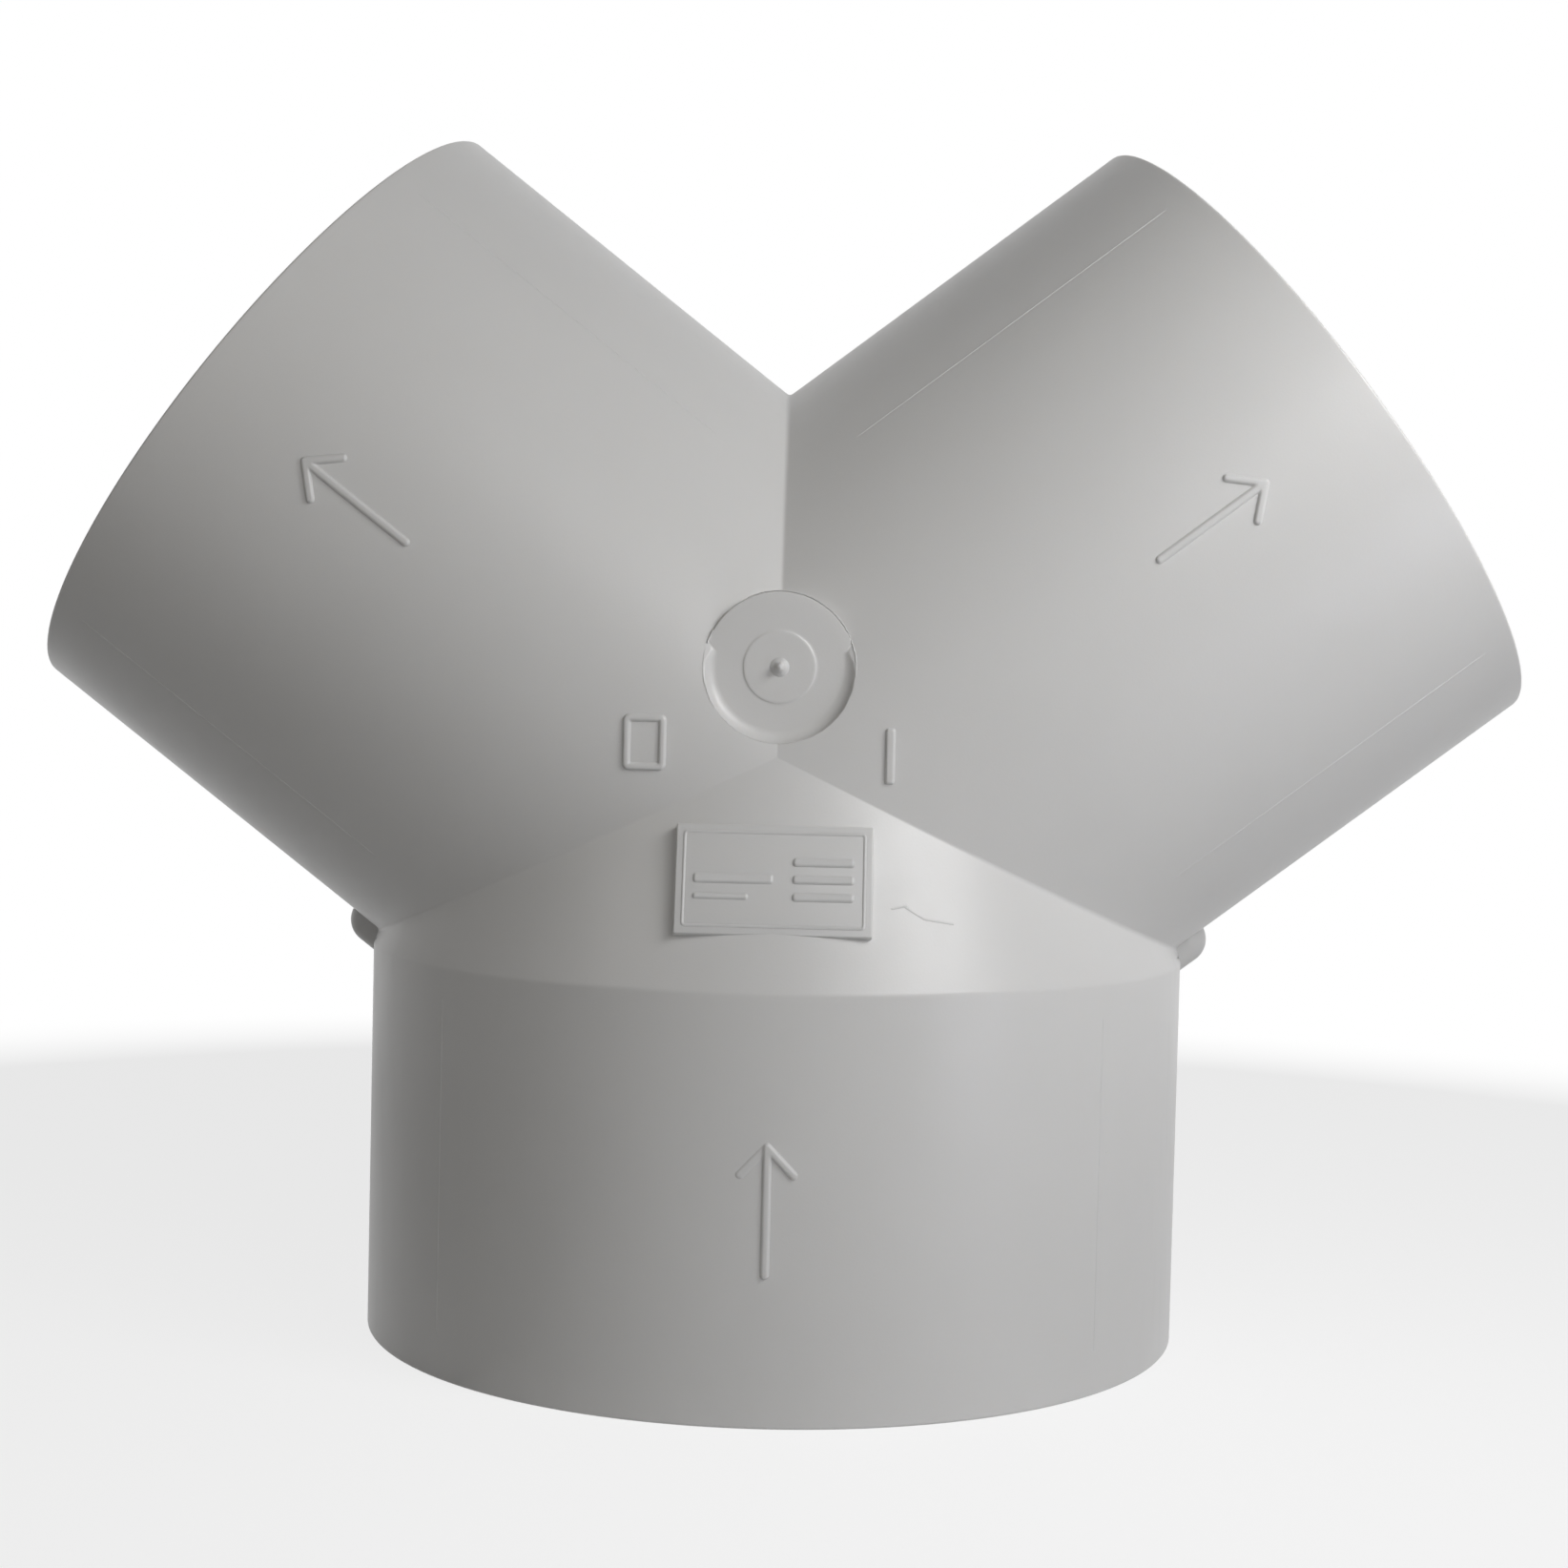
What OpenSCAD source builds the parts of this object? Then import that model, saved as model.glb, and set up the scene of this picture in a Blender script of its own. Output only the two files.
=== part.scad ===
// Duct branch fitting: one wide inlet at the bottom parts into two narrower outlets.
// It is one moulded shell. Its three tubes are drawn round one common ball at the point
// where their lines cross, so that they meet in flat mitres with straight-looking creases.
// Millimetres, +Z up the inlet. The origin is the middle of the inlet's rim, the outlets
// lean to -X and +X, and the marked front faces -Y.

/* [Inlet] */
// Outer diameter of the inlet
inlet_d = 150; // [146:1:154]
// Height of the inlet's wall, from its rim to the lower edge of the cone
inlet_h = 70; // [70:1:90]
// Length of the inlet that a duct slides over
inlet_grip = 66; // [50:1:66]

/* [Outlets] */
// Outer diameter of each outlet
outlet_d = 125; // [123:1:127]
// Lean of each outlet from the inlet's line
outlet_lean = 52.5; // [51:0.5:54]
// Distance from the crossing point of the three lines to an outlet's rim
outlet_reach = 121.5; // [121.5:0.5:150]
// Length of an outlet that a duct slides over
outlet_grip = 68.5; // [50:0.5:68.5]

/* [Cone] */
// Height of the crossing point above the cone's lower edge
cone_h = 24; // [22:1:26]

/* [Wall] */
// Thickness of the wall at the rims
rim_wall = 2.5; // [2:0.1:3]
// Draft angle of the three cores and of the tubes' roots
draft = 0.35; // [0.2:0.05:0.5]
// Bevel on both edges of each rim
rim_bevel = 0.5; // [0.3:0.1:0.8]

/* [Gate pad] */
// Diameter of the round pad through which the plastic was injected
gate_d = 25; // [22:0.5:26]
// Height of the pad's centre above the crossing point
gate_rise = 28.25; // [27:0.25:30]
// Distance of the pad's face from the middle plane of the fitting
gate_face = 59.8; // [59.5:0.1:60.5]
// Radius round the floor of the pad, where it lies below the outlets' walls
gate_fillet = 2; // [1:0.25:2.5]
// Diameter of the low step in the middle of the pad
gate_step_d = 12; // [10:0.5:14]
// Height of the low step
gate_step_h = 0.15; // [0.1:0.05:0.3]
// Diameter of the sprue nib at its foot
nib_d = 2.6; // [2:0.1:3.5]
// Height of the sprue nib
nib_h = 1.8; // [1:0.1:2.5]

/* [Bare plate] */
// Width of the bare plate on the cone
plate_w = 32; // [26:1:34]
// Length of the plate, up the cone's slope
plate_l = 18.4; // [16:0.2:20]
// Depth of the plate's lower edge below the crossing point
plate_drop = 14.8; // [13:0.2:16]
// Angle at which the plate's face leaves the cone's slope, so that its upper edge stands proud
plate_lift = 1; // [0.5:0.25:2]

/* [Duct stops] */
// Diameter of the stop in the corner under each outlet
stop_d = 9.4; // [8:0.2:10]
// Distance along the outlet's line from the crossing point to the stop's round end
stop_reach = 52.2; // [50:0.1:52.4]

/* [Hidden] */
$fn = 160;

inlet_r = inlet_d / 2;
outlet_r = outlet_d / 2;
cross_z = inlet_h + cone_h;
root_l = outlet_reach - outlet_grip;

// Outer skin: the outlets' roots widen inwards by the draft, and touch the outer ball
ball_r = (outlet_r + root_l * tan(draft)) * cos(draft);
cone_base_r = inlet_r + (inlet_h - inlet_grip) * tan(draft);
cone_slope = acos(ball_r / norm([cone_base_r, cone_h])) - atan2(cone_h, cone_base_r);

// Cavity: the cores taper inwards by the draft, and touch the inner ball
core_ball_r = (outlet_r - rim_wall - outlet_reach * tan(draft)) * cos(draft);
core_cone_axis_r = core_ball_r / cos(cone_slope);
inlet_core_r = inlet_r - rim_wall;
core_base_z = (core_cone_axis_r + cross_z * tan(cone_slope) - inlet_core_r)
    / (tan(cone_slope) - tan(draft));

// How far an outlet's skin and core run on past the crossing point, inside the other tubes
overrun = 15;
past_rim = 2;
plate_depth = 3;
pocket_l = 8;
stop_root = 20;

// Radius at height z over the crossing point of the cone that touches a ball of radius r
function cone_r(r, z) = r / cos(cone_slope) - z * tan(cone_slope);

// Radius at distance s along an outlet of a drafted surface that touches a ball of radius r
function root_r(r, s, angle) = r / cos(angle) - s * tan(angle);

// Stands its children on the right outlet's line, with their +Z towards the rim
module along_outlet() {
    translate([0, 0, cross_z])
        rotate([0, outlet_lean, 0])
            children();
}

// Repeats its children on both sides of the middle plane
module both_sides() {
    children();
    mirror([1, 0, 0])
        children();
}

// Solid outer form of the inlet and of the cone above it
module inlet_skin() {
    top = ball_r * sin(cone_slope);
    rotate_extrude()
        polygon([
            [0, 0],
            [inlet_r - rim_bevel, 0],
            [inlet_r, rim_bevel],
            [inlet_r, inlet_grip],
            [cone_base_r, inlet_h],
            [cone_r(ball_r, top), cross_z + top],
            [0, cross_z + top]
        ]);
}

// Solid outer form of the right outlet
module outlet_skin() {
    along_outlet()
        rotate_extrude()
            polygon([
                [0, -overrun],
                [root_r(ball_r, -overrun, draft), -overrun],
                [outlet_r, root_l],
                [outlet_r, outlet_reach - rim_bevel],
                [outlet_r - rim_bevel, outlet_reach],
                [0, outlet_reach]
            ]);
}

// Air space inside the inlet and the cone
module inlet_core() {
    top = core_ball_r * sin(cone_slope);
    rotate_extrude()
        polygon([
            [0, -past_rim],
            [inlet_core_r + rim_bevel, -past_rim],
            [inlet_core_r + rim_bevel, 0],
            [inlet_core_r - rim_bevel * tan(draft), rim_bevel],
            [inlet_core_r - core_base_z * tan(draft), core_base_z],
            [cone_r(core_ball_r, top), cross_z + top],
            [0, cross_z + top]
        ]);
}

// Air space inside the right outlet
module outlet_core() {
    rim_r = outlet_r - rim_wall;
    along_outlet()
        rotate_extrude()
            polygon([
                [0, -overrun],
                [root_r(core_ball_r, -overrun, -draft), -overrun],
                [rim_r - rim_bevel * tan(draft), outlet_reach - rim_bevel],
                [rim_r + rim_bevel, outlet_reach],
                [rim_r + rim_bevel, outlet_reach + past_rim],
                [0, outlet_reach + past_rim]
            ]);
}

// Stands its children on the face of the gate pad, with their +Z away from the fitting
module on_gate() {
    translate([0, -gate_face, cross_z + gate_rise])
        rotate([90, 0, 0])
            children();
}

// Plug that fills the valley between the outlets, out to the face of the gate pad
module gate_boss() {
    on_gate()
        translate([0, 0, -gate_face / 2])
            cylinder(d = gate_d, h = gate_face / 2);
}

// Round-edged space in front of the gate pad, where the outlets' walls would stand higher
module gate_pocket() {
    on_gate()
        rotate_extrude() {
            square([gate_d / 2 - gate_fillet, pocket_l]);
            translate([0, gate_fillet])
                square([gate_d / 2, pocket_l - gate_fillet]);
            translate([gate_d / 2 - gate_fillet, gate_fillet])
                circle(r = gate_fillet);
        }
}

// Low round step and the nib of the broken-off sprue on the gate pad
module gate_sprue() {
    foot = 0.5;
    on_gate() {
        translate([0, 0, -foot])
            cylinder(d = gate_step_d, h = foot + gate_step_h);
        cylinder(d1 = nib_d, d2 = nib_d / 3, h = nib_h);
    }
}

// Flat bare plate that lies against the front of the cone
module bare_plate() {
    translate([0, -cone_r(ball_r, -plate_drop), cross_z - plate_drop])
        rotate([90 - cone_slope + plate_lift, 0, 0])
            translate([-plate_w / 2, 0, -plate_depth])
                cube([plate_w, plate_l, plate_depth]);
}

// Round-ended stop along the underside of the right outlet, in its corner with the cone
module duct_stop() {
    stop_r = stop_d / 2;
    along_outlet()
        translate([outlet_r, 0, stop_reach - stop_r]) {
            translate([0, 0, -stop_root])
                cylinder(r = stop_r, h = stop_root);
            sphere(r = stop_r);
        }
}

// The whole moulding
module branch_fitting() {
    color("whitesmoke") {
        difference() {
            union() {
                inlet_skin();
                both_sides()
                    outlet_skin();
                both_sides()
                    duct_stop();
                gate_boss();
                bare_plate();
            }
            inlet_core();
            both_sides()
                outlet_core();
            gate_pocket();
        }
        gate_sprue();
    }
}

branch_fitting();
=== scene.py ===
"""Looks of a moulded duct branch: a white Y-shaped fitting that stands on its wide inlet.

The shell's skins are worked out in millimetres from the point where the lines of the three
tubes cross, with +Z up the inlet, and are scaled and lifted into the frame when they become
meshes. Every part of it is one moulding, so all its pieces ride on the same body.
"""

import logging
import math
from collections.abc import Callable, Sequence
from dataclasses import dataclass, field
from enum import Enum

import bmesh
import bpy
import numpy as np
from mathutils import Matrix, Vector


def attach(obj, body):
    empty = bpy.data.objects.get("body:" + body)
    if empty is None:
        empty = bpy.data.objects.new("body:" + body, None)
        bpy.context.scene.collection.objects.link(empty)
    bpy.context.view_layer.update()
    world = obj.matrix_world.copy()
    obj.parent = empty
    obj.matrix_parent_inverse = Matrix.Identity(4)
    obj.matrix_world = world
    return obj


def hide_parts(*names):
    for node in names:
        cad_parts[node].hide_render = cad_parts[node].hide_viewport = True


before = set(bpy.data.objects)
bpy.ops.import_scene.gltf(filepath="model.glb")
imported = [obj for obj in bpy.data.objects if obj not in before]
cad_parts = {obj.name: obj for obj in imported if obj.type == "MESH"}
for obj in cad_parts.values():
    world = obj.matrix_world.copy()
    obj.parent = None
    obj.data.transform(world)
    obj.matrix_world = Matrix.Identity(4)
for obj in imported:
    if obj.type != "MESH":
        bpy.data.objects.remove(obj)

logging.basicConfig(level=logging.INFO, format="%(levelname)s %(message)s")
log = logging.getLogger("duct_branch")

BODY = "root"
NODE = "branch_fitting"
MM = 0.001
CROSSING_Z = 94.0
OVERRUN = 15.0
END_STEEPNESS = 50.0

Array = np.ndarray


class Side(Enum):
    """The two outlets, by the sign of X on which each one lies."""

    LEFT = -1
    RIGHT = 1


# Shader maths


class Value:
    """A number that varies over a surface: a node's output, with the usual operators."""

    def __init__(self, graph: "Graph", socket: bpy.types.NodeSocket) -> None:
        """Wraps a socket of a node in the given graph."""
        self.graph = graph
        self.socket = socket

    def _math(self, operation: str, *values: "Value | float") -> "Value":
        """Adds a Math node for the operation on the given values."""
        inputs = dict(enumerate(values))
        return self.graph.value("ShaderNodeMath", {"operation": operation}, inputs)

    def __add__(self, other: "Value | float") -> "Value":
        """This value plus another."""
        return self._math("ADD", self, other)

    def __radd__(self, other: float) -> "Value":
        """A number plus this value."""
        return self._math("ADD", other, self)

    def __sub__(self, other: "Value | float") -> "Value":
        """This value less another."""
        return self._math("SUBTRACT", self, other)

    def __rsub__(self, other: float) -> "Value":
        """A number less this value."""
        return self._math("SUBTRACT", other, self)

    def __mul__(self, other: "Value | float") -> "Value":
        """This value times another."""
        return self._math("MULTIPLY", self, other)

    def __rmul__(self, other: float) -> "Value":
        """A number times this value."""
        return self._math("MULTIPLY", other, self)

    def __truediv__(self, other: "Value | float") -> "Value":
        """This value over another."""
        return self._math("DIVIDE", self, other)

    def larger(self, other: "Value | float") -> "Value":
        """The larger of this value and another."""
        return self._math("MAXIMUM", self, other)

    def ramp(self, low: float, high: float) -> "Value":
        """A smooth step from 0 at low to 1 at high."""
        settings = {"interpolation_type": "SMOOTHSTEP"}
        return self.graph.value(
            "ShaderNodeMapRange",
            settings,
            {"Value": self, "From Min": low, "From Max": high},
        )


class Graph:
    """The node tree of one material or world."""

    def __init__(self, tree: bpy.types.NodeTree) -> None:
        """Starts from an empty tree."""
        self.tree = tree
        tree.nodes.clear()

    def node(
        self,
        kind: str,
        settings: dict[str, object] | None = None,
        inputs: dict[str | int, object] | None = None,
    ) -> bpy.types.Node:
        """Adds a node.

        Args:
            kind: The node's type name.
            settings: Its own settings, which are set first.
            inputs: Values or links for its sockets, by name or index.

        Returns:
            The new node.
        """
        made = self.tree.nodes.new(kind)
        for name, value in (settings or {}).items():
            setattr(made, name, value)
        for name, value in (inputs or {}).items():
            source = value.socket if isinstance(value, Value) else value
            if isinstance(source, bpy.types.NodeSocket):
                self.tree.links.new(source, made.inputs[name])
            else:
                made.inputs[name].default_value = source
        return made

    def value(
        self,
        kind: str,
        settings: dict[str, object] | None = None,
        inputs: dict[str | int, object] | None = None,
        output: str | int = 0,
    ) -> Value:
        """Adds a node, as node does, and wraps one of its outputs."""
        return Value(self, self.node(kind, settings, inputs).outputs[output])

    def noise(
        self, place: Value, scale: float, detail: float = 2.0, rough: float = 0.5
    ) -> Value:
        """Smooth noise with scale bumps a metre, from 0 to 1 with a mean of one half."""
        inputs = {"Vector": place, "Scale": scale, "Detail": detail, "Roughness": rough}
        return self.value("ShaderNodeTexNoise", {}, inputs, "Fac")

    def stretched(self, place: Value, scale: tuple[float, float, float]) -> Value:
        """The place with each axis scaled, which draws a pattern out along an axis."""
        inputs = {"Vector": place, "Scale": scale}
        return self.value("ShaderNodeMapping", {}, inputs, "Vector")

    def tint(self, share: Value, low: Sequence[float], high: Sequence[float]) -> Value:
        """The colour low where share is 0 and high where it is 1."""
        settings = {"data_type": "RGBA"}
        inputs = {0: share, 6: (*low, 1.0), 7: (*high, 1.0)}
        return self.value("ShaderNodeMix", settings, inputs, 2)


@dataclass(frozen=True)
class MouldedPlastic:
    """Off-white injection-moulded plastic, satin, with the fine grain of the mould's steel."""

    name: str = "moulded_plastic"
    clean: tuple[float, float, float] = (0.66, 0.655, 0.645)
    cloudy: tuple[float, float, float] = (0.63, 0.625, 0.615)
    roughness: float = 0.30
    grain_per_metre: float = 2600.0
    grain_height: float = 0.000012
    waves_per_metre: float = 70.0
    wave_height: float = 0.00012

    def material(self) -> bpy.types.Material:
        """Builds the material.

        Returns:
            The material, with its cloudiness, grain, flow waves and handling marks.
        """
        made = bpy.data.materials.new(self.name)
        made.use_nodes = True
        graph = Graph(made.node_tree)
        place = graph.value("ShaderNodeTexCoord", {}, {}, "Object")
        clouds = graph.noise(place, 22.0, 3.0, 0.55)
        specks = graph.noise(place, 900.0, 2.0, 0.6).ramp(0.70, 0.78)
        rubs = graph.noise(graph.stretched(place, (60.0, 60.0, 9.0)), 6.0, 3.0, 0.6)
        colour = graph.tint(clouds.ramp(0.3, 0.75) * 0.6 + specks * 0.25, self.clean, self.cloudy)
        roughness = self.roughness + clouds * 0.06 + rubs.ramp(0.5, 0.8) * 0.08
        waves = graph.noise(place, self.waves_per_metre, 1.0)
        grain = graph.noise(place, self.grain_per_metre, 2.0, 0.6)
        height = waves * self.wave_height + grain * self.grain_height
        bump = graph.value(
            "ShaderNodeBump", {}, {"Height": height, "Strength": 1.0, "Distance": 1.0}, "Normal"
        )
        shader = graph.node(
            "ShaderNodeBsdfPrincipled",
            {},
            {
                "Base Color": colour,
                "Roughness": roughness,
                "Normal": bump,
                "IOR": 1.5,
                "Subsurface Weight": 0.06,
                "Subsurface Scale": 0.003,
                "Subsurface Radius": (1.0, 0.8, 0.6),
            },
        )
        graph.node("ShaderNodeOutputMaterial", {}, {"Surface": shader.outputs[0]})
        return made


# Form of the moulding


def smooth_max(
    a: Array, grad_a: Array, b: Array, grad_b: Array, radius: float
) -> tuple[Array, Array]:
    """Joins two distance fields by the larger one, with the edge between them rounded.

    Args:
        a: First field's values.
        grad_a: Its gradients.
        b: Second field's values.
        grad_b: Its gradients.
        radius: Radius of the rounded edge.

    Returns:
        The joined values and gradients.
    """
    reach = np.maximum(radius * (1.0 - np.einsum("ij,ij->i", grad_a, grad_b)), 1e-9)
    share = np.clip(0.5 + 0.5 * (a - b) / reach, 0.0, 1.0)
    rounding = reach * share * (1.0 - share)
    values = share * a + (1.0 - share) * b + rounding
    return values, share[:, None] * grad_a + (1.0 - share)[:, None] * grad_b


@dataclass(frozen=True)
class Skin:
    """One skin of the junction: a cone and two tubes drawn round a common ball."""

    ball_r: float
    draft: float
    slope: float
    lean: float
    wall_r: float
    wall_draft: float
    root_l: float
    crease_r: float
    edge_r: float

    def axis(self, side: Side) -> Array:
        """The direction of an outlet's line, towards its rim."""
        return np.array([side.value * math.sin(self.lean), 0.0, math.cos(self.lean)])

    def upward(self, side: Side) -> Array:
        """The direction across an outlet's line that points up towards the other outlet."""
        return np.array([-side.value * math.cos(self.lean), 0.0, math.sin(self.lean)])

    def spoke(self, side: Side, angle: Array) -> Array:
        """Directions across an outlet's line, by the angle up from the front."""
        front = np.array([0.0, -1.0, 0.0])
        angle = np.asarray(angle)[..., None]
        return np.cos(angle) * front + np.sin(angle) * self.upward(side)

    def outlet_r(self, s: Array) -> Array:
        """Radius of an outlet at distance s along its line."""
        root = self.ball_r / math.cos(self.draft) - np.minimum(s, self.root_l) * math.tan(self.draft)
        return root

    def on_outlet(self, side: Side, angle: Array, s: Array) -> Array:
        """Points on an outlet, by angle up from the front and distance along its line."""
        s = np.asarray(s, float)
        return s[..., None] * self.axis(side) + self.outlet_r(s)[..., None] * self.spoke(side, angle)

    def valley(self, angle: Array) -> Array:
        """Distance along an outlet at which it meets the other outlet, by angle."""
        rise = np.sin(angle) * math.cos(self.lean)
        core = self.ball_r / math.cos(self.draft)
        return core * rise / (math.sin(self.lean) + math.tan(self.draft) * rise)

    def shoulder(self, angle: Array) -> Array:
        """Distance along an outlet at which it meets the cone, by angle."""
        up = np.sin(angle) * math.sin(self.lean)
        ball, cone_cos = self.ball_r, math.cos(self.slope)
        top = ball * (math.tan(self.slope) + math.tan(self.draft)) - ball / math.cos(
            self.draft
        ) * up / cone_cos
        return top / ((math.cos(self.lean) - math.tan(self.draft) * up) / cone_cos
                      + 1.0 / math.cos(self.draft))

    def apex_angle(self) -> float:
        """Angle on an outlet, up from the front, at which all three tubes meet."""
        low, high = -0.6, 1.2
        for _ in range(60):
            middle = 0.5 * (low + high)
            if self.valley(middle) > self.shoulder(middle):
                high = middle
            else:
                low = middle
        return 0.5 * (low + high)

    def cone_r(self, z: Array) -> Array:
        """Radius of the cone at height z."""
        return self.ball_r / math.cos(self.slope) - z * math.tan(self.slope)

    def inlet_r(self, z: Array) -> Array:
        """Radius of the inlet's wall at height z."""
        return self.wall_r - z * math.tan(self.wall_draft)

    def base_z(self) -> float:
        """Height at which the inlet's wall meets the cone."""
        rise = math.tan(self.slope) - math.tan(self.wall_draft)
        return (self.ball_r / math.cos(self.slope) - self.wall_r) / rise

    def measure(self, points: Array) -> tuple[Array, Array]:
        """Distance out from this skin, with soft creases and edges.

        Args:
            points: Points to measure, one a row.

        Returns:
            The distances and their gradients.
        """
        x, y, z = points.T
        across = np.maximum(np.hypot(x, y), 1e-9)
        outward = np.stack([x / across, y / across, np.zeros_like(x)], 1)
        upright = np.array([0.0, 0.0, 1.0])
        cone = across * math.cos(self.slope) + z * math.sin(self.slope) - self.ball_r
        cone_grad = outward * math.cos(self.slope) + upright * math.sin(self.slope)
        wall = (across - self.inlet_r(z)) * math.cos(self.wall_draft)
        wall_grad = outward * math.cos(self.wall_draft) + upright * math.sin(self.wall_draft)
        value, grad = smooth_max(cone, cone_grad, wall, wall_grad, self.edge_r)
        value = np.maximum(value, END_STEEPNESS * (z - self.ball_r * math.sin(self.slope)))
        for side in Side:
            axis = self.axis(side)
            along = points @ axis
            rim_side = points - along[:, None] * axis
            reach = np.maximum(np.linalg.norm(rim_side, axis=1), 1e-9)
            tube = (reach - self.outlet_r(along)) * math.cos(self.draft)
            tube = np.maximum(tube, END_STEEPNESS * (-OVERRUN - along))
            tilt = np.where(along < self.root_l, math.sin(self.draft), 0.0)[:, None]
            tube_grad = rim_side / reach[:, None] * np.sqrt(1.0 - tilt**2) + axis * tilt
            value, grad = smooth_max(-value, -grad, -tube, -tube_grad, self.crease_r)
            value, grad = -value, -grad
        return value, grad

    def settle(self, points: Array, steps: int = 6) -> Array:
        """Moves points on to this skin, each along the skin's own gradient."""
        flat = points.reshape(-1, 3).copy()
        for _ in range(steps):
            value, grad = self.measure(flat)
            flat -= (value / np.einsum("ij,ij->i", grad, grad))[:, None] * grad
        return flat.reshape(points.shape)

    def front_y(self, x: Array, z: Array) -> Array:
        """Y of the skin's front at the given X and Z."""
        x, z = np.broadcast_arrays(np.asarray(x, float), np.asarray(z, float))
        points = np.stack([x.ravel(), np.full(x.size, -self.ball_r), z.ravel()], 1)
        for _ in range(12):
            value, grad = self.measure(points)
            points[:, 1] -= value / grad[:, 1]
        return points[:, 1].reshape(x.shape)


@dataclass(frozen=True)
class Moulding:
    """Driving sizes of the fitting, and the skins that follow from them."""

    inlet_r: float = 75.0
    inlet_h: float = 70.0
    inlet_grip: float = 66.0
    outlet_r: float = 62.5
    lean: float = math.radians(52.5)
    reach: float = 121.5
    root_l: float = 53.0
    cone_h: float = 24.0
    rim_wall: float = 2.5
    draft: float = math.radians(0.35)
    bevel: float = 0.5
    crease_r: float = 1.0
    edge_r: float = 2.4

    def outer(self) -> Skin:
        """The outer skin."""
        tan, cos = math.tan(self.draft), math.cos(self.draft)
        ball = (self.outlet_r + self.root_l * tan) * cos
        base_r = self.inlet_r + (self.inlet_h - self.inlet_grip) * tan
        slope = math.acos(ball / math.hypot(base_r, self.cone_h)) - math.atan2(self.cone_h, base_r)
        return Skin(ball, self.draft, slope, self.lean, self.inlet_r, 0.0, self.root_l,
                    self.crease_r, self.edge_r)

    def inner(self) -> Skin:
        """The skin of the air space, which widens towards every rim."""
        tan, cos = math.tan(self.draft), math.cos(self.draft)
        ball = (self.outlet_r - self.rim_wall - self.reach * tan) * cos
        wall = self.inlet_r - self.rim_wall - CROSSING_Z * tan
        return Skin(ball, -self.draft, self.outer().slope, self.lean, wall, self.draft,
                    self.reach * 2.0, 0.6, self.edge_r)


def arc(centre: tuple[float, float], radius: float, start: float, end: float, count: int) -> list[tuple[float, float]]:
    """Points on an arc.

    Args:
        centre: The arc's centre.
        radius: Its radius.
        start: First angle in degrees.
        end: Last angle in degrees.
        count: How many points.

    Returns:
        The points as pairs.
    """
    angles = np.radians(np.linspace(start, end, count))
    return [(centre[0] + radius * math.cos(a), centre[1] + radius * math.sin(a)) for a in angles]


def bend(start: Array, corner: Array, end: Array, count: int) -> Array:
    """Rounds a corner by a parabola, as count rows of points from start to end."""
    t = np.linspace(0.0, 1.0, count)[:, None, None]
    return (1 - t) ** 2 * start + 2 * t * (1 - t) * corner + t**2 * end


class MeshMaker:
    """Collects points and faces in millimetres and turns them into a Blender object."""

    def __init__(self) -> None:
        """Starts empty."""
        self.bm = bmesh.new()

    def points(self, places: Array) -> list[bmesh.types.BMVert]:
        """Adds points, one a row."""
        return [self.bm.verts.new(p) for p in np.asarray(places, float).reshape(-1, 3)]

    def grid(self, places: Array, closed: bool) -> list[list[bmesh.types.BMVert]]:
        """Adds a grid of points and the faces between them.

        Args:
            places: Points as rows, columns and coordinates.
            closed: Whether the last column joins the first.

        Returns:
            The grid's vertices by row and column.
        """
        rows, columns = places.shape[:2]
        verts = self.points(places)
        table = [verts[r * columns:(r + 1) * columns] for r in range(rows)]
        last = columns if closed else columns - 1
        for r in range(rows - 1):
            low, high = table[r], table[r + 1]
            for c in range(last):
                d = (c + 1) % columns
                self.bm.faces.new((low[c], low[d], high[d], high[c]))
        return table

    def weld(self, distance: float = 0.004) -> None:
        """Joins points that lie together."""
        bmesh.ops.remove_doubles(self.bm, verts=self.bm.verts[:], dist=distance)

    def finish(self, name: str, material: bpy.types.Material, normals: Callable[[Array, Array], Array] | None = None) -> bpy.types.Object:
        """Makes the object, in metres and in the part's frame.

        Args:
            name: The piece's name.
            material: Its finish.
            normals: Corrects the points' normals, given the points and Blender's own normals.

        Returns:
            The new object, riding on the fitting's body.
        """
        bmesh.ops.recalc_face_normals(self.bm, faces=self.bm.faces[:])
        for face in self.bm.faces:
            face.smooth = True
        mesh = bpy.data.meshes.new(name)
        self.bm.to_mesh(mesh)
        self.bm.free()
        if normals is not None:
            count = len(mesh.vertices)
            places = np.empty(count * 3, np.float32)
            own = np.empty(count * 3, np.float32)
            mesh.vertices.foreach_get("co", places)
            mesh.vertex_normals.foreach_get("vector", own)
            better = normals(places.reshape(-1, 3).astype(float), own.reshape(-1, 3).astype(float))
            mesh.normals_split_custom_set_from_vertices(better.tolist())
        mesh.transform(Matrix.Translation((0.0, 0.0, CROSSING_Z * MM)) @ Matrix.Scale(MM, 4))
        made = bpy.data.objects.new(name, mesh)
        bpy.context.scene.collection.objects.link(made)
        mesh.materials.append(material)
        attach(made, BODY)
        log.info("%s: %d points, %d faces", name, len(mesh.vertices), len(mesh.polygons))
        return made


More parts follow.
